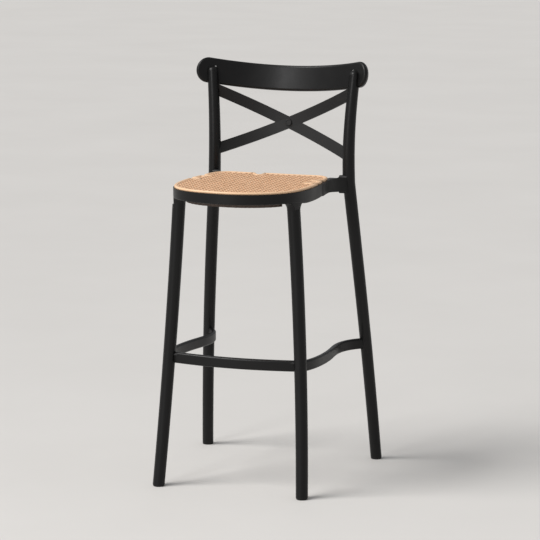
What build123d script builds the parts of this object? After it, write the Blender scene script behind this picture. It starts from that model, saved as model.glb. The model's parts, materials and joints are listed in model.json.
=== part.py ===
from build123d import *
from math import cos, degrees, radians, sin
import os

# Bar stool with a cross back and a footrest, moulded in pieces and screwed together.
# Millimetres, +Z up. The sitter faces -Y. X = 0 is the plane of symmetry, the floor is Z = 0,
# and the origin is below the middle of the whole stool.

# ---- Driving dimensions -------------------------------------------------------------

RING_TOP = 757          # top face of the seat ring, which carries the insert
RING_BOTTOM = 732       # lower edge of the apron in front
SIDE_BOTTOM = 724.5     # lower edge of the apron at the sides and the back
INSERT_TOP = 763        # seat height
LEG_SPAN = 700          # height over which the legs' curves are given
WIDE = 700              # more than the stool is wide
TO_ORIGIN_Y = 6         # from Y as given here, the mid-depth of the feet, to the middle of the whole

GLIDE_T = 4             # each foot stands on a push-in glide
GLIDE_R = 14.2
GLIDE_STEM_R = 4.5
GLIDE_STEM_H = 16

# Legs: axis at the floor and at LEG_SPAN, and how far the middle bows from a straight line.
FRONT_FOOT = (191.3, -212.6)
FRONT_TOP = (152.0, -162.9)
FRONT_BOW = (1.5, 12.5)
FRONT_FOOT_R = 15.2
FRONT_TOP_R = 16.4
FRONT_SHOULDER = 712    # the leg stops here and its tenon goes up into the ring

REAR_FOOT = (238.3, 246.6)
REAR_TOP = (187.8, 169.9)
REAR_BOW = (4.0, -2.2)
REAR_FOOT_R = 14.6
REAR_TOP_R = 16.0
# The same moulding goes on upwards as the back post: x, y, z, radius.
POST_STATIONS = [
    (184.6, 166.6, 741, 16.0),
    (183.6, 166.4, 809, 15.7),
    (184.9, 169.2, 877, 15.1),
    (188.6, 174.2, 945, 14.5),
    (193.8, 180.6, 1013, 13.9),
]

TENON_R = 11.0
TENON_TOP = 745
LEG_BOLT_R = 3.0
FIT = 0.15              # radial clearance of a tenon, bolt or tab in its hole
SEAM = 0.2              # gap where a shaped end meets a round leg or post

FLARE_R = 27.0          # the socket widens to this where it meets the ring

RING_LIP = 3.0          # the ring stands this far outside the insert
RING_WALL = 5.0
RING_LEDGE = 30.0       # width of the ledge under the insert
RING_FLANGE = 5.0
INNER_WALL = 3.0
RIB_T = 2.5
RIB_COUNT = 14
RING_EDGE_R = 3.0

ARM_T = 18.0            # arms that carry the ring back to the posts
ARM_BOTTOM = 720.0      # lower edge and top of an arm just before the post
ARM_TOP = 754.0
ARM_FLARE = 6.0         # radius with which the arm widens onto the post
ARM_WAY = (-0.55, -0.83)        # direction in which the arm leaves the post, for the +X side
ARM_BOLT_Z = 740

INSERT_EDGE_R = 2.5
SKIRT_T = 2.5           # skirt of the insert, inside the ring
SKIRT_GAP = 0.3
SKIRT_BOTTOM = 721

RAIL_R = 355.9          # crest rail: radius of the mid-surface, in plan
RAIL_MID = (0, 247.5, 995.0)
RAIL_RECLINE = 10.0
RAIL_T = 18.0
RAIL_H = 66.0
RAIL_ARC = 46.0         # half-angle of the blank from which the rail is cut
RAIL_LOBE_X = 207.0     # centres of the round lobes at the ends
RAIL_LOBE_RX = 26.0
RAIL_RISE = 9.6         # how much the lobes' centres stand above the middle
RAIL_EDGE_R = 6.0

STRAP_W = 28.5
STRAP_T = 7.0
STRAP_LOW = (177.4, 162.2, 813.5)      # ends of the straps, inside the posts
STRAP_HIGH = (183.5, 178.5, 967.0)
STRAP_MID = (0, 227.5, 881.7)
STRAP_RECLINE = 9.4
BOSS_SCREW_R = 1.5
BOSS_CAP_R = 9.0
BOSS_CAP_T = 3.5

REST_MID = 321          # footrest: height at Y = 0, and its slope down towards the back
REST_SLOPE = 1.5
REST_H = 27.5
REST_EDGE_R = 5.0
REST_FRONT_T = 14.0
REST_SIDE_T = 12.5
SPIGOT_R = 4.0
SPIGOT_OFFSET = 7.0     # front and side spigots pass each other in the front leg

SCREW_R = 2.0
SCREW_HEAD_R = 4.0
SCREW_HEAD_T = 3.0
HEAD_AT = -11.5         # head and tip of a joint's screw, measured from the leg's axis
TIP_AT = 26.0
CREST_SCREW_LENGTH = 20
CREST_HEAD_T = 2.2
CREST_SCREW_TURN = 33.0         # angle of the posts round the crest rail's centre of curvature
INSERT_SCREW_R = 1.6
INSERT_SCREW_REACH = 8.0        # from the underside of the ring's flange into the insert

# ---- Helpers ------------------------------------------------------------------------


def leg_axis(foot, top, bow, z):
    """Point of a leg's gently bowed axis at height z."""
    s = z / LEG_SPAN
    x = foot[0] + (top[0] - foot[0]) * s + 4 * bow[0] * s * (1 - s)
    y = foot[1] + (top[1] - foot[1]) * s + 4 * bow[1] * s * (1 - s)
    return x, y


def leg_stations(foot, top, bow, foot_r, top_r, heights):
    """Centre, height and radius of the leg at each of the heights."""
    stations = []
    for z in heights:
        x, y = leg_axis(foot, top, bow, z)
        stations.append((x, y, z, foot_r + (top_r - foot_r) * z / LEG_SPAN))
    return stations


def round_bar(stations, grow=0.0):
    """Smooth round bar through circles, on the +X side."""
    with BuildPart() as bar:
        for x, y, z, r in stations:
            with BuildSketch(Plane.XY.offset(z)):
                with Locations((x, y)):
                    Circle(r + grow)
        loft()
    return bar.part


def on_side(solid, side):
    """The solid itself for the +X side, its mirror image for the -X side."""
    return solid if side > 0 else solid.mirror(Plane.YZ)


def plane_at(x, y, z=0.0):
    """Level plane with its origin at the given point."""
    return Plane(origin=(x, y, z), z_dir=(0, 0, 1))


def rod(plane, start, end, radius):
    """Round rod along the plane's normal, from start to end."""
    with BuildPart() as bar:
        with BuildSketch(plane.offset(start)):
            Circle(radius)
        extrude(amount=end - start)
    return bar.part


def screw(plane, head_at, tip_at, head_r, head_t, shank_r):
    """Screw along the plane's normal, with a hexagon socket in its head."""
    with BuildPart() as piece:
        with BuildSketch(plane.offset(head_at)):
            Circle(head_r)
        extrude(amount=head_t)
        with BuildSketch(plane.offset(head_at + head_t)):
            Circle(shank_r)
        extrude(amount=tip_at - head_at - head_t)
        with BuildSketch(plane.offset(head_at)):
            RegularPolygon(head_r * 0.5, 6)
        extrude(amount=head_t * 0.55, mode=Mode.SUBTRACT)
    return piece.part


FRONT_LEG = leg_stations(FRONT_FOOT, FRONT_TOP, FRONT_BOW, FRONT_FOOT_R, FRONT_TOP_R,
                         (GLIDE_T, 180, 360, 540, FRONT_SHOULDER))
REAR_LEG = leg_stations(REAR_FOOT, REAR_TOP, REAR_BOW, REAR_FOOT_R, REAR_TOP_R,
                        (GLIDE_T, 188, 372, 556)) + POST_STATIONS[:1]


def post_bar(grow=0.0):
    """Back post with its domed top."""
    top_x, top_y, top_z, top_r = POST_STATIONS[-1]
    with BuildPart() as post:
        add(round_bar(POST_STATIONS, grow))
        with Locations((top_x, top_y, top_z)):
            Sphere(top_r + grow)
    return post.part


def rear_bar(grow=0.0):
    """Rear leg and the post above it."""
    with BuildPart() as bar:
        add(round_bar(REAR_LEG, grow))
        add(post_bar(grow))
    return bar.part


# ---- Seat outlines ------------------------------------------------------------------


SEAT_MIDDLE = (0, -67)
# Edge of the insert: its +X side, from the front middle to the rear middle.
SEAT_HALF = [(0, -267), (84, -251), (143, -206), (168, -130), (170, -45), (161, 45), (151, 91),
             (132, 110), (90, 113), (0, 114)]


def seat_face(inset=0.0):
    """Face inside the edge of the insert. Inset moves every point towards the middle of the seat."""
    points = []
    for x, y in SEAT_HALF:
        away = Vector(x, y) - Vector(*SEAT_MIDDLE)
        points.append(Vector(x, y) - away.normalized() * inset)
    mirrored = [Vector(-p.X, p.Y) for p in reversed(points[1:-1])]
    with BuildSketch() as face:
        with BuildLine():
            Spline(*points, *mirrored, periodic=True)
        make_face()
    return face.sketch


def arm_line(side):
    """Centre line of an arm in plan: along the ring's side and out to the post."""
    x, y = POST_STATIONS[0][:2]
    points = [(side * px, py) for px, py in [(159, 10), (152.5, 66), (158, 118), (x, y)]]
    Spline(*points, tangents=[(-side * 0.1, 1), (-side * ARM_WAY[0], -ARM_WAY[1])])


# ---- Footrest, straps and crest rail: the planes they lie in --------------------------

REST_PLANE = Plane(origin=(0, 0, REST_MID), x_dir=(1, 0, 0),
                   z_dir=(0, sin(radians(REST_SLOPE)), cos(radians(REST_SLOPE))))
RAIL_PLANE = Plane(origin=RAIL_MID, x_dir=(1, 0, 0),
                   z_dir=(0, sin(radians(RAIL_RECLINE)), cos(radians(RAIL_RECLINE))))
LAP_PLANE = Plane(origin=STRAP_MID, x_dir=(1, 0, 0),
                  z_dir=(0, cos(radians(STRAP_RECLINE)), -sin(radians(STRAP_RECLINE))))


def rest_point(x, y):
    """Point of the footrest's middle plane above or below (x, y)."""
    return Vector(x, y, REST_MID - y * sin(radians(REST_SLOPE)) / cos(radians(REST_SLOPE)))


def rest_joint(stations, side, toward, rise):
    """Plane at a leg's axis whose normal points along the bar, rise above the bar's middle."""
    foot, top, bow = stations
    x, y = leg_axis(foot, top, bow, REST_MID)
    start = rest_point(side * x, y) + Vector(0, 0, rise)
    return Plane(origin=start, z_dir=Vector(side * toward[0], toward[1], 0))


FRONT_AXIS = (FRONT_FOOT, FRONT_TOP, FRONT_BOW)
REAR_AXIS = (REAR_FOOT, REAR_TOP, REAR_BOW)
# Direction in which each bar leaves its leg, for the +X side.
FRONT_BAR_WAY = (-0.98, -0.10)
SIDE_BAR_FRONT_WAY = (0.13, 0.99)
SIDE_BAR_REAR_WAY = (-0.55, -0.83)


def strap_plane(side):
    """Plane of the bow of the strap that rises towards the given side, and the strap's ends in it."""
    low = Vector(-side * STRAP_LOW[0], STRAP_LOW[1], STRAP_LOW[2])
    high = Vector(side * STRAP_HIGH[0], STRAP_HIGH[1], STRAP_HIGH[2])
    mid = Vector(*STRAP_MID)
    plane = Plane(origin=mid, x_dir=high - low, z_dir=(mid - low).cross(high - low))
    return plane, plane.to_local_coords(low), plane.to_local_coords(high)


def strap_blank(side, grow=0.0):
    """Bowed flat bar whose ends are tabs inside the posts; grow makes the mortises for them."""
    plane, low, high = strap_plane(side)
    with BuildPart() as bar:
        with BuildSketch(plane.offset(-STRAP_W / 2 - grow)):
            with BuildLine():
                ThreePointArc((low.X, low.Y), (0, 0), (high.X, high.Y))
            trace(line_width=STRAP_T + 2 * grow)
        extrude(amount=STRAP_W + 2 * grow)
    return bar.part


# ---- Legs ---------------------------------------------------------------------------


def front_leg():
    """Front leg with a tenon on top and holes for the glide, the bolt and the footrest."""
    top_plane = plane_at(*FRONT_LEG[-1][:2])
    foot_plane = plane_at(*FRONT_LEG[0][:2])
    with BuildPart() as leg:
        add(round_bar(FRONT_LEG))
        add(rod(top_plane, FRONT_SHOULDER - 5, TENON_TOP, TENON_R))
        add(rod(top_plane, FRONT_SHOULDER - 25, TENON_TOP, LEG_BOLT_R + FIT), mode=Mode.SUBTRACT)
        add(rod(foot_plane, 0, GLIDE_T + GLIDE_STEM_H + 1, GLIDE_STEM_R + FIT), mode=Mode.SUBTRACT)
        for plane in front_joints(1):
            add(joint_cut(plane, FRONT_TOP_R), mode=Mode.SUBTRACT)
    return leg.part


def rear_leg():
    """Rear leg and back post in one, with its mortises and bolt holes."""
    foot_plane = plane_at(*REAR_LEG[0][:2])
    with BuildPart() as leg:
        add(rear_bar())
        add(rod(foot_plane, 0, GLIDE_T + GLIDE_STEM_H + 1, GLIDE_STEM_R + FIT), mode=Mode.SUBTRACT)
        add(joint_cut(rear_joint(1), REAR_TOP_R), mode=Mode.SUBTRACT)
        add(joint_cut(arm_joint(1), REAR_TOP_R), mode=Mode.SUBTRACT)
        add(strap_blank(1, FIT), mode=Mode.SUBTRACT)
        add(strap_blank(-1, FIT), mode=Mode.SUBTRACT)
        for plane in crest_screw_planes(1):
            add(rod(plane, 0, CREST_SCREW_LENGTH + 1, SCREW_R + FIT), mode=Mode.SUBTRACT)
    return leg.part


# ---- Screwed spigot joints -------------------------------------------------------------
# At each joint the bar's spigot enters the leg along the plane's normal, and a screw comes
# from the far side of the leg, under a flush plug.


def front_joints(side):
    """Joints of a front leg: the front bar above, the side bar below."""
    return (rest_joint(FRONT_AXIS, side, FRONT_BAR_WAY, SPIGOT_OFFSET),
            rest_joint(FRONT_AXIS, side, SIDE_BAR_FRONT_WAY, -SPIGOT_OFFSET))


def rear_joint(side):
    """Joint of the side bar on the rear leg."""
    return rest_joint(REAR_AXIS, side, SIDE_BAR_REAR_WAY, 0)


def arm_joint(side):
    """Joint of the ring's arm on the post."""
    x, y = POST_STATIONS[0][:2]
    return Plane(origin=(side * x, y, ARM_BOLT_Z), z_dir=(side * ARM_WAY[0], ARM_WAY[1], 0))


def joint_cut(plane, leg_r):
    """What a joint takes out of the leg."""
    with BuildPart() as cut:
        add(rod(plane, 1, leg_r + 4, SPIGOT_R + FIT))
        add(rod(plane, HEAD_AT, 2, SCREW_R + FIT))
        add(rod(plane, -leg_r - 4, HEAD_AT + SCREW_HEAD_T, SCREW_HEAD_R + FIT))
    return cut.part


def joint_spigot(plane, leg_r):
    """Spigot that stands out of a bar's end into the leg."""
    return rod(plane, 1 + FIT, leg_r + 10, SPIGOT_R)


def joint_bore(plane):
    """Screw hole through the spigot and into the bar."""
    return rod(plane, 1, TIP_AT + 1, SCREW_R + FIT)


def joint_screw(plane):
    """Screw of a spigot joint."""
    return screw(plane, HEAD_AT, TIP_AT, SCREW_HEAD_R, SCREW_HEAD_T, SCREW_R)


def joint_plug(plane, leg):
    """Plug over the screw's head, flush with the round surface of the leg."""
    with BuildPart() as plug:
        add(rod(plane, 2 * HEAD_AT, HEAD_AT - FIT, SCREW_HEAD_R))
        add(leg, mode=Mode.INTERSECT)
    return plug.part


# ---- Crest rail -------------------------------------------------------------------------


def crest_screw_planes(side):
    """Two screws per post, from the back of the rail straight towards its centre of curvature."""
    planes = []
    turn = radians(CREST_SCREW_TURN)
    for rise in (-12, 12):
        back = Vector(side * (RAIL_R + RAIL_T / 2) * sin(turn),
                      (RAIL_R + RAIL_T / 2) * cos(turn) - RAIL_R, rise + RAIL_RISE * 0.8)
        way = Vector(-side * sin(turn), -cos(turn), 0)
        origin = RAIL_PLANE.from_local_coords(back)
        planes.append(Plane(origin=origin, z_dir=RAIL_PLANE.from_local_coords(back + way) - origin))
    return planes


with BuildPart() as crest_rail:
    with BuildSketch(RAIL_PLANE.offset(-RAIL_H)):
        with BuildLine():
            end = Vector(0, RAIL_R).rotate(Axis.Z, -RAIL_ARC) - Vector(0, RAIL_R)
            ThreePointArc((-end.X, end.Y), (0, 0), (end.X, end.Y))
        trace(line_width=RAIL_T)
    extrude(amount=2 * RAIL_H)
    # Elevation: a shallow rising band with a round lobe at each end.
    front = Plane(origin=RAIL_PLANE.origin, x_dir=(1, 0, 0), z_dir=-RAIL_PLANE.y_dir)
    with BuildSketch(front.offset(-WIDE / 2)):
        with BuildLine():
            tilt = 2 * RAIL_RISE / RAIL_LOBE_X
            for edge in (RAIL_H / 2, -RAIL_H / 2):
                end_x, end_y = RAIL_LOBE_X - edge * sin(tilt), RAIL_RISE + edge * cos(tilt)
                ThreePointArc((-end_x, end_y), (0, edge), (end_x, end_y))
            for side in (-1, 1):
                EllipticalCenterArc((side * RAIL_LOBE_X, RAIL_RISE), RAIL_LOBE_RX, RAIL_H / 2,
                                    start_angle=-side * 90, arc_size=180, rotation=side * degrees(tilt))
        make_face()
    extrude(amount=WIDE, mode=Mode.INTERSECT)
    # Round both edges of the long front and back faces.
    fillet(crest_rail.faces().sort_by(SortBy.AREA)[-2:].edges(), RAIL_EDGE_R)
    for side in (-1, 1):
        add(on_side(post_bar(SEAM), side), mode=Mode.SUBTRACT)
        for plane in crest_screw_planes(side):
            add(rod(plane, -5, CREST_HEAD_T + 0.3, SCREW_HEAD_R + FIT), mode=Mode.SUBTRACT)
            add(rod(plane, -5, CREST_SCREW_LENGTH, SCREW_R + FIT), mode=Mode.SUBTRACT)

# ---- Crossed straps ----------------------------------------------------------------------


def lap_notch(side):
    """What the strap loses where the other one crosses it: half of its thickness."""
    plane, low, high = strap_plane(-side)
    notch_plane = Plane(origin=STRAP_MID, x_dir=plane.x_dir, z_dir=LAP_PLANE.z_dir)
    with BuildPart() as notch:
        with BuildSketch(notch_plane):
            Rectangle(4 * STRAP_W, STRAP_W + 2 * FIT)
        extrude(amount=side * 2 * STRAP_T)
    return notch.part


def cross_strap(side):
    """Strap, halved where the other one crosses it; the side 1 strap lies in front."""
    with BuildPart() as strap:
        add(strap_blank(side))
        add(lap_notch(side), mode=Mode.SUBTRACT)
        add(rod(LAP_PLANE, -2 * STRAP_T, 2 * STRAP_T, BOSS_SCREW_R + FIT), mode=Mode.SUBTRACT)
    return strap.part


with BuildPart() as cross_boss:
    add(rod(LAP_PLANE, -STRAP_T / 2 - BOSS_CAP_T, -STRAP_T / 2 + 1, BOSS_CAP_R))
    fillet(cross_boss.edges().group_by(Axis.Y)[0], 1.2)
    add(rod(LAP_PLANE, -STRAP_T / 2 - BOSS_CAP_T, -STRAP_T / 2 - BOSS_CAP_T + 0.7, BOSS_CAP_R - 3),
        mode=Mode.SUBTRACT)
    add(strap_blank(1, 0.05), mode=Mode.SUBTRACT)
    add(rod(LAP_PLANE, -STRAP_T / 2 - 2, 0, BOSS_SCREW_R + FIT), mode=Mode.SUBTRACT)

# ---- Footrest bars ------------------------------------------------------------------------


def rest_bar(points, thickness, joints, legs):
    """Bar of the footrest: a curve in plan, shaped to the legs, with a spigot at each end."""
    with BuildPart() as bar:
        with BuildSketch(REST_PLANE.offset(-REST_H / 2)):
            with BuildLine():
                Spline(*points)
            trace(line_width=thickness)
        extrude(amount=REST_H)
        long_edges = bar.edges().filter_by(lambda e: e.length > 60)
        fillet(long_edges, REST_EDGE_R)
        for leg in legs:
            add(leg, mode=Mode.SUBTRACT)
        for plane in joints:
            add(joint_spigot(plane, FRONT_TOP_R))
            add(joint_bore(plane), mode=Mode.SUBTRACT)
    return bar.part


REST_FRONT_HALF = [(175, -170), (92, -188.5)]
REST_FRONT_MIDDLE = (0, -196)
REST_SIDE = [(175, -176), (188, -120), (191, -55), (185, 25), (177, 108), (184, 152), (219, 206)]


def front_bar():
    """Bar between the front legs, bowed forwards."""
    right = REST_FRONT_HALF
    left = [(-x, y) for x, y in right]
    points = [left[0], left[1], REST_FRONT_MIDDLE, right[1], right[0]]
    joints = [front_joints(side)[0] for side in (-1, 1)]
    legs = [on_side(round_bar(FRONT_LEG, SEAM), side) for side in (-1, 1)]
    return rest_bar(points, REST_FRONT_T, joints, legs)


def side_bar():
    """Bar from the front leg to the rear leg on the +X side."""
    joints = [front_joints(1)[1], rear_joint(1)]
    legs = [round_bar(FRONT_LEG, SEAM), round_bar(REAR_LEG, SEAM)]
    return rest_bar(REST_SIDE, REST_SIDE_T, joints, legs)


# ---- Seat ring ---------------------------------------------------------------------------

INSERT_SCREWS = [(97, -226), (152, -60), (103, 98)]


def insert_screw_planes():
    """Planes of the screws that hold the insert, at the underside of the ring's flange."""
    planes = []
    for x, y in INSERT_SCREWS:
        for side in (-1, 1):
            planes.append(plane_at(side * x, y, RING_TOP - RING_FLANGE))
    return planes


def below_apron():
    """Everything under the apron and the arms: the lower edge drops behind the front legs, and
    again towards the posts, where the arm widens with a small radius."""
    post_y = POST_STATIONS[0][1] - POST_STATIONS[0][3]
    with BuildPart() as space:
        with BuildSketch(Plane.YZ.offset(-WIDE / 2)):
            with BuildLine():
                Line((-WIDE, RING_BOTTOM), (-200, RING_BOTTOM))
                Spline((-200, RING_BOTTOM), (-110, SIDE_BOTTOM), tangents=[(1, 0), (1, 0)])
                Line((-110, SIDE_BOTTOM), (70, SIDE_BOTTOM))
                Spline((70, SIDE_BOTTOM), (post_y - ARM_FLARE, ARM_BOTTOM), tangents=[(1, 0), (1, 0)])
                RadiusArc((post_y - ARM_FLARE, ARM_BOTTOM), (post_y, ARM_BOTTOM - ARM_FLARE), ARM_FLARE)
                Polyline((post_y, ARM_BOTTOM - ARM_FLARE), (WIDE, ARM_BOTTOM - ARM_FLARE),
                         (WIDE, 0), (-WIDE, 0), (-WIDE, RING_BOTTOM))
            make_face()
        extrude(amount=WIDE)
    return space.part


def above_arms():
    """Everything above the arms, whose top drops a little towards the posts."""
    rear_y = SEAT_HALF[-1][1] + RING_LIP
    post_y = POST_STATIONS[0][1] - POST_STATIONS[0][3]
    with BuildPart() as space:
        with BuildSketch(Plane.YZ.offset(-WIDE / 2)):
            with BuildLine():
                Spline((rear_y, RING_TOP), (post_y - ARM_FLARE, ARM_TOP), tangents=[(1, 0), (1, 0)])
                RadiusArc((post_y - ARM_FLARE, ARM_TOP), (post_y, ARM_TOP + ARM_FLARE), -ARM_FLARE)
                Polyline((post_y, ARM_TOP + ARM_FLARE), (WIDE, ARM_TOP + ARM_FLARE), (WIDE, 2 * RING_TOP),
                         (-WIDE, 2 * RING_TOP), (-WIDE, RING_TOP), (rear_y, RING_TOP))
            make_face()
        extrude(amount=WIDE)
    return space.part


BELOW = below_apron()
ABOVE = above_arms()


def arm(side):
    """Arm from the ring's side to the post."""
    low = ARM_BOTTOM - ARM_FLARE
    with BuildPart() as bar:
        with BuildSketch(Plane.XY.offset(low)):
            with BuildLine():
                arm_line(side)
            trace(line_width=ARM_T)
        extrude(amount=ARM_TOP + ARM_FLARE - low)
        add(BELOW, mode=Mode.SUBTRACT)
        add(ABOVE, mode=Mode.SUBTRACT)
    return bar.part


with BuildPart() as leg_flares:
    for side in (-1, 1):
        flare_x, flare_y, _, shoulder_r = FRONT_LEG[-1]
        flare_x = side * flare_x
        with BuildSketch(Plane.XZ.offset(-flare_y)):
            with BuildLine():
                Polyline((flare_x + shoulder_r, FRONT_SHOULDER), (flare_x, FRONT_SHOULDER),
                         (flare_x, RING_BOTTOM + 8), (flare_x + FLARE_R, RING_BOTTOM + 8),
                         (flare_x + FLARE_R, RING_BOTTOM))
                RadiusArc((flare_x + FLARE_R, RING_BOTTOM), (flare_x + shoulder_r, FRONT_SHOULDER), -24)
            make_face()
        revolve(axis=Axis((flare_x, flare_y, 0), (0, 0, 1)))
    # The flares end flush with the apron outside.
    with BuildSketch(Plane.XY.offset(FRONT_SHOULDER - 5)):
        add(seat_face(0.5 - RING_LIP))
    extrude(amount=RING_TOP - FRONT_SHOULDER, mode=Mode.INTERSECT)

with BuildPart() as ring_channel:
    # Hollow below the ledge, between the apron and the inner wall, with ribs across it.
    with BuildSketch(Plane.XY.offset(SIDE_BOTTOM - 1)):
        add(seat_face(RING_WALL - RING_LIP))
        add(seat_face(RING_LEDGE - INNER_WALL), mode=Mode.SUBTRACT)
        with Locations(SEAT_MIDDLE):
            with PolarLocations(0, RIB_COUNT, start_angle=180 / RIB_COUNT):
                Rectangle(WIDE, RIB_T, mode=Mode.SUBTRACT)
    extrude(amount=RING_TOP - SIDE_BOTTOM + 1 - RING_FLANGE)

with BuildPart() as seat_ring:
    with BuildSketch(Plane.XY.offset(SIDE_BOTTOM)):
        add(seat_face(-RING_LIP))
    extrude(amount=RING_TOP - SIDE_BOTTOM)
    add(BELOW, mode=Mode.SUBTRACT)
    fillet(seat_ring.edges().filter_by(lambda e: e.center().Z < RING_BOTTOM + 1), RING_EDGE_R)
    with BuildSketch(Plane.XY.offset(SIDE_BOTTOM - 1)):
        add(seat_face(RING_LEDGE))
    extrude(amount=RING_TOP - SIDE_BOTTOM + 2, mode=Mode.SUBTRACT)
    add(ring_channel.part, mode=Mode.SUBTRACT)
    add(leg_flares.part)
    for side in (-1, 1):
        add(arm(side))
    for side in (-1, 1):
        socket = plane_at(side * FRONT_LEG[-1][0], FRONT_LEG[-1][1])
        add(rod(socket, FRONT_SHOULDER - 6, TENON_TOP + FIT, TENON_R + FIT), mode=Mode.SUBTRACT)
        add(rod(socket, TENON_TOP, RING_TOP + 1, LEG_BOLT_R + FIT), mode=Mode.SUBTRACT)
        add(rod(socket, RING_TOP - 5, RING_TOP + 1, 2 * LEG_BOLT_R + FIT), mode=Mode.SUBTRACT)
        add(on_side(rear_bar(SEAM), side), mode=Mode.SUBTRACT)
        add(joint_spigot(arm_joint(side), REAR_TOP_R))
        add(joint_bore(arm_joint(side)), mode=Mode.SUBTRACT)
    for plane in insert_screw_planes():
        add(rod(plane, -1, RING_FLANGE + 1, INSERT_SCREW_R + FIT), mode=Mode.SUBTRACT)

# ---- Seat insert --------------------------------------------------------------------------

with BuildPart() as seat_insert:
    with BuildSketch(Plane.XY.offset(RING_TOP)):
        add(seat_face())
    extrude(amount=INSERT_TOP - RING_TOP)
    fillet(seat_insert.edges().group_by(Axis.Z)[-1], INSERT_EDGE_R)
    with BuildSketch(Plane.XY.offset(SKIRT_BOTTOM)):
        add(seat_face(RING_LEDGE + SKIRT_GAP))
        add(seat_face(RING_LEDGE + SKIRT_GAP + SKIRT_T), mode=Mode.SUBTRACT)
        with Locations((FRONT_LEG[-1][0], FRONT_LEG[-1][1]), (-FRONT_LEG[-1][0], FRONT_LEG[-1][1])):
            Circle(FLARE_R + 1, mode=Mode.SUBTRACT)
    extrude(amount=RING_TOP - SKIRT_BOTTOM)
    for plane in insert_screw_planes():
        add(rod(plane, 0, INSERT_SCREW_REACH + 1, INSERT_SCREW_R + FIT), mode=Mode.SUBTRACT)

# ---- Small parts --------------------------------------------------------------------------


def glide(x, y):
    """Push-in glide: a chamfered disc with a stem."""
    plane = plane_at(x, y)
    with BuildPart() as disc:
        add(rod(plane, 0, GLIDE_T, GLIDE_R))
        chamfer(disc.edges().group_by(Axis.Z)[0], 1)
        add(rod(plane, GLIDE_T - 1, GLIDE_T + GLIDE_STEM_H, GLIDE_STEM_R))
    return disc.part


def group(pieces):
    """Identical fasteners as one node with a solid for each."""
    with BuildPart() as fasteners:
        for piece in pieces:
            add(piece)
    return fasteners.part


bolt_planes = [Plane(origin=(side * FRONT_LEG[-1][0], FRONT_LEG[-1][1], RING_TOP), z_dir=(0, 0, -1))
               for side in (-1, 1)]
joint_planes = [plane for side in (-1, 1) for plane in (*front_joints(side), rear_joint(side))]
arm_planes = [arm_joint(side) for side in (-1, 1)]
crest_planes = [plane for side in (-1, 1) for plane in crest_screw_planes(side)]
plugs = []
for side in (-1, 1):
    plugs += [joint_plug(plane, on_side(round_bar(FRONT_LEG), side)) for plane in front_joints(side)]
    plugs += [joint_plug(plane, on_side(rear_bar(), side)) for plane in (rear_joint(side), arm_joint(side))]

nodes = {
    "seat_ring": seat_ring.part,
    "seat_insert": seat_insert.part,
    "front_leg_left": on_side(front_leg(), -1),
    "front_leg_right": front_leg(),
    "rear_leg_left": on_side(rear_leg(), -1),
    "rear_leg_right": rear_leg(),
    "crest_rail": crest_rail.part,
    "cross_strap_front": cross_strap(1),
    "cross_strap_back": cross_strap(-1),
    "cross_boss": cross_boss.part,
    "boss_screw": screw(LAP_PLANE.rotated((180, 0, 0)), -STRAP_T / 2 - 2.2, STRAP_T / 2 + 1.5, 3.5, 2,
                        BOSS_SCREW_R),
    "footrest_front_bar": front_bar(),
    "footrest_side_bar_left": on_side(side_bar(), -1),
    "footrest_side_bar_right": side_bar(),
    "glide_front_left": glide(-FRONT_LEG[0][0], FRONT_LEG[0][1]),
    "glide_front_right": glide(FRONT_LEG[0][0], FRONT_LEG[0][1]),
    "glide_rear_left": glide(-REAR_LEG[0][0], REAR_LEG[0][1]),
    "glide_rear_right": glide(REAR_LEG[0][0], REAR_LEG[0][1]),
    "front_leg_bolts": group(screw(plane, 1, 45, 2 * LEG_BOLT_R, 4, LEG_BOLT_R) for plane in bolt_planes),
    "arm_bolts": group(joint_screw(plane) for plane in arm_planes),
    "footrest_screws": group(joint_screw(plane) for plane in joint_planes),
    "joint_plugs": group(plugs),
    "crest_screws": group(screw(plane, 0.2, CREST_SCREW_LENGTH, SCREW_HEAD_R, CREST_HEAD_T, SCREW_R)
                          for plane in crest_planes),
    "insert_screws": group(screw(plane, -2.5, INSERT_SCREW_REACH, 3.5, 2.5, INSERT_SCREW_R)
                           for plane in insert_screw_planes()),
}

os.makedirs("parts", exist_ok=True)
for name, part in nodes.items():
    placed = part.moved(Location((0, TO_ORIGIN_Y, 0)))
    placed.label = name
    export_step(placed, f"parts/{name}.step")
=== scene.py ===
import bpy
import json
import math
import numpy as np
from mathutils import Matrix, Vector


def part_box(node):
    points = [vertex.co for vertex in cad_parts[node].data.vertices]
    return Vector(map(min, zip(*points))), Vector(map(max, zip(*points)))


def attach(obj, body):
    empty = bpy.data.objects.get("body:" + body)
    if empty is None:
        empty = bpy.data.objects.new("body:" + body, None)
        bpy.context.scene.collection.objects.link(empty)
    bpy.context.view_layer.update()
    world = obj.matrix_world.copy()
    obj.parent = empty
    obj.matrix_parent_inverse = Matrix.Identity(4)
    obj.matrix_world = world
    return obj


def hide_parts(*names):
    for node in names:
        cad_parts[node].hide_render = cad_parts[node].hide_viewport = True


# Bar stool with a cross back and a footrest. The CAD pieces keep their shape and get moulded-plastic
# materials; the seat insert is rebuilt as a cane pattern moulded on a plate, in a smooth rim, with the
# insert's skirt below.
# Metres, in the frame of the CAD: +Z up, the sitter faces -Y.

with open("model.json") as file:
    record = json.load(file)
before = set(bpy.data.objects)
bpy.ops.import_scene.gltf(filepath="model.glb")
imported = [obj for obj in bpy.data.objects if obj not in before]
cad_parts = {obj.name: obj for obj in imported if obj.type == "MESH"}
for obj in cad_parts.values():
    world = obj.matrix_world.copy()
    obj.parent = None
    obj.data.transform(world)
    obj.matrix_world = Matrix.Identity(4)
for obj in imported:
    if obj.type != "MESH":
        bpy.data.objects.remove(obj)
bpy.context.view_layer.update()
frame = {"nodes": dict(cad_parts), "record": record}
NODES = frame["nodes"]
MM = 0.001

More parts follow.
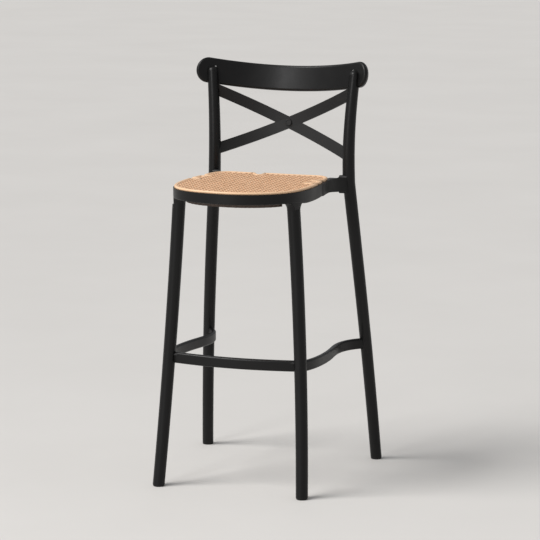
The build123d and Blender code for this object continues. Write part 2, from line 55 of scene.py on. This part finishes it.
# ---- Seat insert, in millimetres -------------------------------------------------------
PLATE_T = 6.0               # from the ring's top face to the top of the rim
BASE_T = 2.6                # plate under the weave
BASE_INSET = 4.0            # the plate ends this far inside the rim's outer edge
WEAVE_MIDDLE = 205.0        # from the insert's front edge back to the middle of the pattern
SKIRT_T = 2.5               # wall of the skirt
SKIRT_OVERLAP = 0.5         # the skirt's top enters the plate by this much
LEG_NOTCH = 28.0            # the skirt is left out this near to a front leg's axis
BOLT_HEAD_R = 6.0           # head of the bolt on a front leg's axis

CANE_PITCH = 14.5           # distance between the pairs of strands
PAIR_HALF = 2.05            # half the distance between the two strands of a pair
STRAND_W = 2.3
STRAND_T = 1.0
DIAGONAL_W = 2.7
WEAVE_WAVE = 0.65           # how far a strand rises and dips as it passes over and under
DIAGONAL_RISE = 0.95        # the diagonals lie on top of the pairs
DIAGONAL_WAVE = 0.25        # part of that rise by which crossing diagonals pass over and under
FIELD_HALF = 240.0          # strands are laid this far from the middle, then cut at the rim
SAMPLES_PER_PITCH = 6
SHORTEST_RUN = 4            # samples; a shorter piece of strand is left out
# Section of a strand, in widths across and thicknesses up: flat underneath, crowned on top.
STRAND_SECTION = ((-0.5, 0.0), (-0.36, 0.42), (0.0, 0.5), (0.36, 0.42), (0.5, 0.0), (0.0, -0.5))

RIM_WIDTH = 9.0
RIM_OVERLAP = 2.5           # the strands' ends run this far under the rim
RIM_CROWN = 1.4             # height of the rim above the woven field
WEAVE_SINK = 1.2            # from the field's top to the middle plane of the weave
RIM_EDGE_R = 2.8            # rounding of the rim's outer edge
RIM_EDGE_STEPS = 6
CROWN_END = 0.62            # part of the rim's width that is level
SHOULDER, SHOULDER_DROP = 0.86, 0.5     # then it falls: part of the width, and drop
LIP_DROP, LIP_BULGE = 1.5, 0.4          # inner lip: drop, and how far it leans over the weave
RIM_FOOT, RIM_FOOT_RISE = 0.9, 1.0      # inner edge of the rim's foot: part of the width, and height

TURN = 240                  # points round the insert
WALL_SECTORS = 72           # sectors in which the outermost vertices are looked for
WALL_DEPTH = 4.0            # a vertex this near to the outermost one of its sector is on the wall
LEVEL_TOLERANCE = 0.2       # a vertex this near to a height lies on it


# ---- Node material helpers ----------------------------------------------------------------

def new_material(name):
    """Empty node material with its Principled shader."""
    mat = bpy.data.materials.new(name)
    mat.use_nodes = True
    tree = mat.node_tree
    shader = tree.nodes["Principled BSDF"]
    return mat, tree, shader


def add_node(tree, kind, **values):
    """Node of the given kind, with its inputs or properties set by name."""
    node = tree.nodes.new(kind)
    for key, value in values.items():
        label = key.replace("_", " ")
        if label in node.inputs:
            node.inputs[label].default_value = value
        else:
            setattr(node, key, value)
    return node


def noise(tree, coords, scale, detail=2.0, roughness=0.5, distortion=0.0):
    """Factor of a noise texture."""
    node = add_node(tree, "ShaderNodeTexNoise", Scale=scale, Detail=detail, Roughness=roughness,
                    Distortion=distortion)
    tree.links.new(coords, node.inputs["Vector"])
    return node.outputs["Fac"]


def remap(tree, value, low, high, from_low=0.0, from_high=1.0):
    """The value moved from one range to another."""
    node = add_node(tree, "ShaderNodeMapRange", From_Min=from_low, From_Max=from_high, To_Min=low,
                    To_Max=high)
    tree.links.new(value, node.inputs["Value"])
    return node.outputs["Result"]


def mix_colour(tree, factor, first, second):
    """Blend of two colours by a factor."""
    node = add_node(tree, "ShaderNodeMix", data_type="RGBA")
    tree.links.new(factor, node.inputs["Factor"])
    colours = [s for s in node.inputs if s.type == "RGBA"]
    colours[0].default_value = (*first, 1)
    colours[1].default_value = (*second, 1)
    return [s for s in node.outputs if s.type == "RGBA"][0]


def bump(tree, height, strength, distance, normal=None):
    """Bump from a height in metres of the given distance."""
    node = add_node(tree, "ShaderNodeBump", Strength=strength, Distance=distance)
    tree.links.new(height, node.inputs["Height"])
    if normal is not None:
        tree.links.new(normal, node.inputs["Normal"])
    return node.outputs["Normal"]


def object_coords(tree):
    return add_node(tree, "ShaderNodeTexCoord").outputs["Object"]


# ---- Looks ------------------------------------------------------------------------------------

def moulded_black(name, dark, light, rough_low, rough_high, grain):
    """Black moulded plastic: fine spark-eroded grain, faint flow mottling and worn sheen."""
    mat, tree, shader = new_material(name)
    coords = object_coords(tree)
    mottle = noise(tree, coords, scale=26, detail=4, roughness=0.6, distortion=0.4)
    tree.links.new(mix_colour(tree, mottle, dark, light), shader.inputs["Base Color"])
    cloud = noise(tree, coords, scale=9, detail=3, roughness=0.55)
    sheen = remap(tree, cloud, rough_low, rough_high, from_low=0.3, from_high=0.7)
    tree.links.new(sheen, shader.inputs["Roughness"])
    fine = noise(tree, coords, scale=1500, detail=2, roughness=0.6)
    first = bump(tree, fine, strength=grain, distance=0.06 * MM)
    wave = noise(tree, coords, scale=55, detail=2, roughness=0.5)
    tree.links.new(bump(tree, wave, strength=0.25, distance=0.4 * MM, normal=first),
                   shader.inputs["Normal"])
    shader.inputs["Specular IOR Level"].default_value = 0.26
    return mat


def tan_plastic(name, low, high, rough, rough_spread=0.16):
    """Tan moulded plastic with a streaky cane grain."""
    mat, tree, shader = new_material(name)
    coords = object_coords(tree)
    blotch = noise(tree, coords, scale=60, detail=4, roughness=0.6, distortion=0.6)
    tint = remap(tree, blotch, 0, 1, from_low=0.3, from_high=0.7)
    tree.links.new(mix_colour(tree, tint, low, high), shader.inputs["Base Color"])
    speck = noise(tree, coords, scale=700, detail=3, roughness=0.6)
    tree.links.new(remap(tree, speck, rough, rough + rough_spread), shader.inputs["Roughness"])
    fibre = noise(tree, coords, scale=1100, detail=2, roughness=0.6)
    tree.links.new(bump(tree, fibre, strength=0.5, distance=0.08 * MM), shader.inputs["Normal"])
    return mat


def zinc_steel(name, dark, light, rough_low, rough_high):
    """Zinc-plated steel with fine scratches."""
    mat, tree, shader = new_material(name)
    scratch = noise(tree, object_coords(tree), scale=800, detail=4, roughness=0.7, distortion=0.3)
    tree.links.new(mix_colour(tree, scratch, dark, light), shader.inputs["Base Color"])
    tree.links.new(remap(tree, scratch, rough_low, rough_high), shader.inputs["Roughness"])
    tree.links.new(bump(tree, scratch, strength=0.3, distance=0.05 * MM), shader.inputs["Normal"])
    shader.inputs["Metallic"].default_value = 1.0
    return mat


BLACK = moulded_black("black_plastic_look", (0.0028, 0.0028, 0.0029), (0.0052, 0.005, 0.005),
                      rough_low=0.33, rough_high=0.45, grain=0.5)
STRAP = moulded_black("strap_plastic_look", (0.0085, 0.0085, 0.0088), (0.0125, 0.0122, 0.012),
                      rough_low=0.48, rough_high=0.58, grain=0.7)
GLIDE = moulded_black("glide_look", (0.006, 0.006, 0.006), (0.010, 0.010, 0.010),
                      rough_low=0.30, rough_high=0.42, grain=0.3)
CANE = tan_plastic("cane_look", (0.66, 0.405, 0.235), (0.80, 0.52, 0.325), rough=0.42)
RIM = tan_plastic("rim_look", (0.76, 0.495, 0.30), (0.82, 0.545, 0.34), rough=0.36)
# Painted shade: the skirt's tan plastic is darkened to dark brown to stand in for the shade it sits in
# under the ring's apron.
SKIRT_PAINTED_SHADE = tan_plastic("skirt_painted_shade_look", (0.050, 0.030, 0.020), (0.075, 0.045, 0.030), rough=0.45)
ZINC = zinc_steel("zinc_look", (0.42, 0.42, 0.40), (0.62, 0.61, 0.58), rough_low=0.28,
                  rough_high=0.48)

LOOKS = {"black_plastic": BLACK, "strap_plastic": STRAP, "glide_plastic": GLIDE, "tan_plastic": RIM,
         "zinc_steel": ZINC}
for part in frame["record"]["subparts"]:
    node = NODES[part["node"]]
    for place in node.material_slots:
        place.material = LOOKS[part["material_slot"]]


# ---- Seat insert: outline and rim -----------------------------------------------------------

def mesh_piece(name, verts, faces, material, smooth=True):
    """Mesh object from vertices in metres."""
    data = bpy.data.meshes.new(name)
    data.from_pydata([tuple(v) for v in verts], [], faces)
    data.validate()
    data.materials.append(material)
    for poly in data.polygons:
        poly.use_smooth = smooth
    piece = bpy.data.objects.new(name, data)
    bpy.context.collection.objects.link(piece)
    return piece


INSERT_LOW, INSERT_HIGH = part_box("seat_insert")
TOP_Z = INSERT_HIGH.z
PLATE_Z = TOP_Z - PLATE_T * MM
FIELD_Z = TOP_Z - RIM_CROWN * MM - WEAVE_SINK * MM       # middle plane of the weave
CENTRE = Vector(((INSERT_LOW.x + INSERT_HIGH.x) / 2, INSERT_LOW.y + WEAVE_MIDDLE * MM, 0))
TURNS = np.linspace(-math.pi, math.pi, TURN, endpoint=False)


def radius_by_angle(angles, radii):
    """Radius at any angle, from points given in any order round the full turn."""
    order = np.argsort(angles)
    angles, radii = angles[order], radii[order]
    angles = np.concatenate([angles - 2 * math.pi, angles, angles + 2 * math.pi])
    radii = np.concatenate([radii] * 3)
    return lambda a: np.interp(a, angles, radii)


def wall_radius(height):
    """Radius of the insert's outermost vertices round CENTRE at a height, at any angle. A sector with
    no vertex of the outer wall takes the skirt's or a hole's, and the outline is dented there."""
    angles, radii = [], []
    for v in NODES["seat_insert"].data.vertices:
        if abs(v.co.z - height) < LEVEL_TOLERANCE * MM:
            dx, dy = v.co.x - CENTRE.x, v.co.y - CENTRE.y
            angles.append(math.atan2(dy, dx))
            radii.append(math.hypot(dx, dy))
    angles, radii = np.array(angles), np.array(radii)
    sectors = np.floor((angles + math.pi) / (2 * math.pi) * WALL_SECTORS).astype(int)
    keep = np.zeros(len(angles), bool)
    for sector in np.unique(sectors):
        inside = np.flatnonzero(sectors == sector)
        keep[inside[radii[inside] > radii[inside].max() - WALL_DEPTH * MM]] = True
    return radius_by_angle(angles[keep], radii[keep])


def points_round(radius):
    """Points round CENTRE, one at each of TURNS, at the given radii."""
    return np.stack([CENTRE.x + radius * np.cos(TURNS), CENTRE.y + radius * np.sin(TURNS)], 1)


def outline_normals(points):
    """Outward unit normals of a closed counter-clockwise outline."""
    along = np.roll(points, -1, 0) - np.roll(points, 1, 0)
    along /= np.linalg.norm(along, axis=1)[:, None]
    return np.stack([along[:, 1], -along[:, 0]], 1)


EDGE = points_round(wall_radius(PLATE_Z)(TURNS))
EDGE_OUT = outline_normals(EDGE)


def swept_ring(name, profile, material):
    """Closed ring whose section is a list of (inset, height) in metres, swept round the outline."""
    verts, faces = [], []
    count = len(profile)
    for inset, height in profile:
        ring = EDGE - EDGE_OUT * inset
        verts += [(x, y, height) for x, y in ring]
    for i in range(count):
        j = (i + 1) % count
        for k in range(TURN):
            m = (k + 1) % TURN
            faces.append((i * TURN + k, i * TURN + m, j * TURN + m, j * TURN + k))
    return mesh_piece(name, verts, faces, material)


def rim_profile():
    """Section of the rim: a rounded outer edge, a soft crown and an inner lip over the weave."""
    width, edge_r = RIM_WIDTH * MM, RIM_EDGE_R * MM
    points = [(0.0, PLATE_Z), (0.0, TOP_Z - edge_r)]
    for step in range(1, RIM_EDGE_STEPS):
        turn = math.radians(90 * step / RIM_EDGE_STEPS)
        points.append((edge_r * (1 - math.cos(turn)), TOP_Z - edge_r * (1 - math.sin(turn))))
    points += [(edge_r, TOP_Z), (width * CROWN_END, TOP_Z), (width * SHOULDER, TOP_Z - SHOULDER_DROP * MM),
               (width, TOP_Z - LIP_DROP * MM), (width + LIP_BULGE * MM, FIELD_Z),
               (width, PLATE_Z + RIM_FOOT_RISE * MM), (width * RIM_FOOT, PLATE_Z)]
    return points


rim = swept_ring("seat_insert_rim", rim_profile(), RIM)
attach(rim, "root")
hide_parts("seat_insert")


# ---- Weave ------------------------------------------------------------------------------------

def field_radius():
    """Radius of the woven field at any angle: inside the rim, plus the overlap under it."""
    ring = EDGE - EDGE_OUT * (RIM_WIDTH - RIM_OVERLAP) * MM
    dx, dy = ring[:, 0] - CENTRE.x, ring[:, 1] - CENTRE.y
    return radius_by_angle(np.arctan2(dy, dx), np.hypot(dx, dy))


FIELD_RADIUS = field_radius()


def inside_field(x, y):
    """True where a point lies in the woven field."""
    dx, dy = x - CENTRE.x, y - CENTRE.y
    return np.hypot(dx, dy) < FIELD_RADIUS(np.arctan2(dy, dx))


def strand(verts, faces, path, across, width, thickness):
    """Adds a flat ribbon with a crowned top along a path of points."""
    start = len(verts)
    for point in path:
        for side, up in STRAND_SECTION:
            verts.append((point[0] + across[0] * side * width, point[1] + across[1] * side * width,
                          point[2] + up * thickness))
    n = len(STRAND_SECTION)
    for i in range(len(path) - 1):
        for j in range(n):
            a, b = start + i * n + j, start + i * n + (j + 1) % n
            faces.append((a, b, b + n, a + n))
    faces.append(tuple(start + j for j in range(n)))
    last = start + (len(path) - 1) * n
    faces.append(tuple(last + j for j in reversed(range(n))))


def runs(inside):
    """Start and end of each run of True values."""
    edges = np.flatnonzero(np.diff(np.concatenate([[0], inside.astype(int), [0]])))
    return list(zip(edges[::2], edges[1::2]))


def weave(name, material):
    """Six-way cane: pairs along X and Y, woven over and under, and diagonals over them that cut the
    corners of each opening into an octagon."""
    verts, faces = [], []
    pitch, half = CANE_PITCH * MM, FIELD_HALF * MM
    t = np.arange(-half, half, pitch / SAMPLES_PER_PITCH)
    rows = int(half / pitch) + 1
    root2 = math.sqrt(2)

    def lay(origin, way, across, width, height):
        """Strands along one line, wherever it crosses the field."""
        x, y = CENTRE.x + origin[0] + way[0] * t, CENTRE.y + origin[1] + way[1] * t
        for first, last in runs(inside_field(x, y)):
            if last - first < SHORTEST_RUN:
                continue
            path = np.stack([x[first:last], y[first:last], FIELD_Z + height[first:last]], 1)
            strand(verts, faces, path, across, width * MM, STRAND_T * MM)

    wave = WEAVE_WAVE * MM * np.sin(2 * math.pi * t / pitch)
    for i in range(-rows, rows + 1):
        for side in (-1, 1):
            place = i * pitch + side * PAIR_HALF * MM
            lay((place, 0), (0, 1), (1, 0), STRAND_W, side * wave)
            lay((0, place), (1, 0), (0, -1), STRAND_W, -side * wave)
    diagonal_pitch = pitch / root2
    for i in range(-2 * rows, 2 * rows + 1):
        offset = (i + 0.5) * diagonal_pitch
        for hand in (-1, 1):
            way = (1 / root2, hand / root2)
            across = (hand / root2, -1 / root2)
            origin = (across[0] * offset, across[1] * offset)
            # The two sets of diagonals pass over and under each other half way between the pairs.
            swing = hand * (-1) ** i * np.cos(math.pi * t / diagonal_pitch)
            height = DIAGONAL_RISE * MM * (1.0 + DIAGONAL_WAVE * swing)
            lay(origin, way, across, DIAGONAL_W, height)
    return mesh_piece(name, verts, faces, material)


cane = weave("seat_insert_weave", CANE)
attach(cane, "root")


# ---- Plate and skirt under the weave ------------------------------------------------------------

def base_plate(name, material):
    """Flat plate that closes the openings of the weave from below."""
    ring = EDGE - EDGE_OUT * BASE_INSET * MM
    low = [(x, y, PLATE_Z) for x, y in ring]
    high = [(x, y, PLATE_Z + BASE_T * MM) for x, y in ring]
    faces = [tuple(reversed(range(TURN))), tuple(range(TURN, 2 * TURN))]
    faces += [(k, (k + 1) % TURN, TURN + (k + 1) % TURN, TURN + k) for k in range(TURN)]
    return mesh_piece(name, low + high, faces, material, smooth=False)


def skirt(name, material):
    """Thin wall inside the ring, from the plate down to the insert's lowest edge, open at the legs."""
    outer_r = wall_radius(INSERT_LOW.z)(TURNS)
    outer, inner = points_round(outer_r), points_round(outer_r - SKIRT_T * MM)
    bolts_low, bolts_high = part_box("front_leg_bolts")
    leg_x = bolts_high.x - BOLT_HEAD_R * MM
    leg_y = (bolts_low.y + bolts_high.y) / 2
    kept = np.hypot(np.abs(outer[:, 0]) - leg_x, outer[:, 1] - leg_y) > LEG_NOTCH * MM
    verts, faces = [], []
    for k in range(TURN):
        for x, y in (outer[k], inner[k]):
            for z in (INSERT_LOW.z, PLATE_Z + SKIRT_OVERLAP * MM):
                verts.append((x, y, z))
    for k in range(TURN):
        m = (k + 1) % TURN
        if not kept[k]:
            continue
        a, b = 4 * k, 4 * m
        if kept[m]:
            faces += [(a, b, b + 1, a + 1), (a + 3, b + 3, b + 2, a + 2), (a + 2, b + 2, b, a),
                      (a + 1, b + 1, b + 3, a + 3)]
        else:
            faces.append((a, a + 1, a + 3, a + 2))
        if not kept[k - 1]:
            faces.append((a + 2, a + 3, a + 1, a))
    used = sorted({i for face in faces for i in face})
    place = {old: new for new, old in enumerate(used)}
    faces = [tuple(place[i] for i in face) for face in faces]
    return mesh_piece(name, [verts[i] for i in used], faces, material, smooth=False)


# The skirt gets the tan darkened as painted shade; the plate keeps the cane's own colour.
for part in (base_plate("seat_insert_base", CANE), skirt("seat_insert_skirt", SKIRT_PAINTED_SHADE)):
    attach(part, "root")


# ---- Floor, light, camera ------------------------------------------------------------------------

def floor_material():
    """Pale matt floor with soft patches."""
    mat, tree, shader = new_material("pale_floor")
    coords = object_coords(tree)
    patch = noise(tree, coords, scale=1.3, detail=4, roughness=0.6)
    tree.links.new(mix_colour(tree, patch, (0.60, 0.585, 0.565), (0.66, 0.645, 0.625)),
                   shader.inputs["Base Color"])
    shader.inputs["Roughness"].default_value = 0.75
    grain = noise(tree, coords, scale=60, detail=3)
    tree.links.new(bump(tree, grain, strength=0.1, distance=0.5 * MM), shader.inputs["Normal"])
    return mat


def floor(half):
    """Square floor at Z = 0."""
    corners = [(-half, -half, 0), (half, -half, 0), (half, half, 0), (-half, half, 0)]
    piece = mesh_piece("floor", corners, [(0, 1, 2, 3)], floor_material(), smooth=False)


def placed(name, data, place, look):
    """Light or camera at a place, turned to look along a direction."""
    thing = bpy.data.objects.new(name, data)
    thing.location = place
    thing.rotation_mode = "QUATERNION"
    thing.rotation_quaternion = look.to_track_quat("-Z", "Y")
    bpy.context.collection.objects.link(thing)
    return thing


def area_light(name, place, target, size, power):
    """Rectangular lamp that points at a target."""
    data = bpy.data.lights.new(name, "AREA")
    data.shape = "RECTANGLE"
    data.size, data.size_y = size
    data.energy = power
    placed(name, data, place, Vector(target) - Vector(place))


def sun_light(towards, strength, angle, colour):
    """Distant soft light that lights the whole floor evenly."""
    data = bpy.data.lights.new("sun", "SUN")
    data.energy = strength
    data.angle = math.radians(angle)
    data.color = colour
    placed("sun", data, (0, 0, 0), -Vector(towards))


def world_light(colour, strength):
    """Even light from all round."""
    world = bpy.data.worlds.new("studio")
    world.use_nodes = True
    background = world.node_tree.nodes["Background"]
    background.inputs["Color"].default_value = (*colour, 1)
    background.inputs["Strength"].default_value = strength
    bpy.context.scene.world = world


def camera(place, azimuth, down, lens, sensor=36.0, reach=100.0):
    """Camera that looks towards +Y, turned by azimuth towards -X and tilted down, in degrees."""
    azimuth, down = math.radians(azimuth), math.radians(down)
    data = bpy.data.cameras.new("camera")
    data.sensor_width = sensor
    data.lens = lens
    data.clip_end = reach
    look = Vector((-math.sin(azimuth) * math.cos(down), math.cos(azimuth) * math.cos(down),
                   -math.sin(down)))
    bpy.context.scene.camera = placed("camera", data, place, look)


floor(half=30.0)
world_light((0.97, 0.98, 1.0), strength=0.42)
sun_light(towards=(-0.80, -0.62, 1.15), strength=2.7, angle=28, colour=(1.0, 0.985, 0.965))
area_light("softbox", place=(-1.2, -3.6, 2.0), target=(0, 0, 0.9), size=(1.0, 1.8), power=40)
camera(place=(2.1031, -5.674, 1.5564), azimuth=20.05, down=9.63, lens=161.3)
bpy.context.scene.view_settings.view_transform = "Standard"
